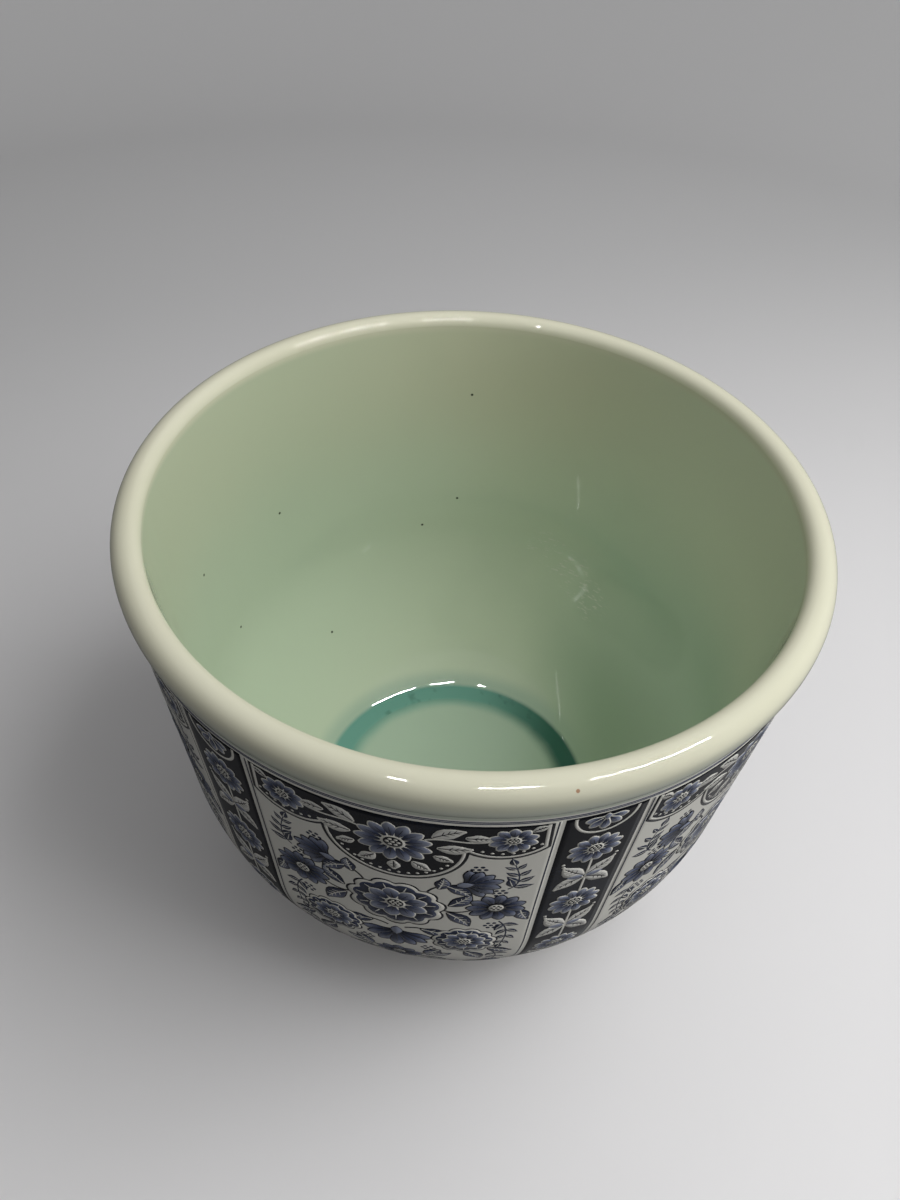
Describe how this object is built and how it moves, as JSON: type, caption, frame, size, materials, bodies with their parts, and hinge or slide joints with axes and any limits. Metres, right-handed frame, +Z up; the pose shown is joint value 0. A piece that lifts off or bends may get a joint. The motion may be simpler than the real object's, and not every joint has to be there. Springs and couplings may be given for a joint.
{
  "type": "flower pot",
  "caption": "Round glazed earthenware flower pot with a rolled cream rim, pale green inside and blue-and-white printed panels outside, on a foot ring.",
  "frame": {"origin": "on the pot's axis at the ground, under the foot ring", "axes": "+Z up along the axis the pot is turned about, -Y towards the middle of a wide panel"},
  "size_m": [0.26, 0.26, 0.198],
  "materials": {
    "clay": "bare fired buff clay, matt",
    "green_glaze": "glossy pale green glaze",
    "teal_glaze": "glossy pooled teal glaze",
    "cream_glaze": "glossy cream glaze",
    "white_glaze": "glossy off-white glaze",
    "panel_print": "blue flower print on off-white, under gloss",
    "strip_print": "dark blue-black print, under gloss",
    "blue_line": "painted blue line, under gloss"
  },
  "bodies": {
    "root": {"pot_body": "clay", "inner_glaze": "green_glaze", "glaze_pool": "teal_glaze", "rim_glaze": "cream_glaze", "outer_glaze": "white_glaze", "base_glaze": "white_glaze", "panel_transfers": "panel_print", "strip_transfers": "strip_print", "lining": "blue_line"}
  },
  "joints": []
}
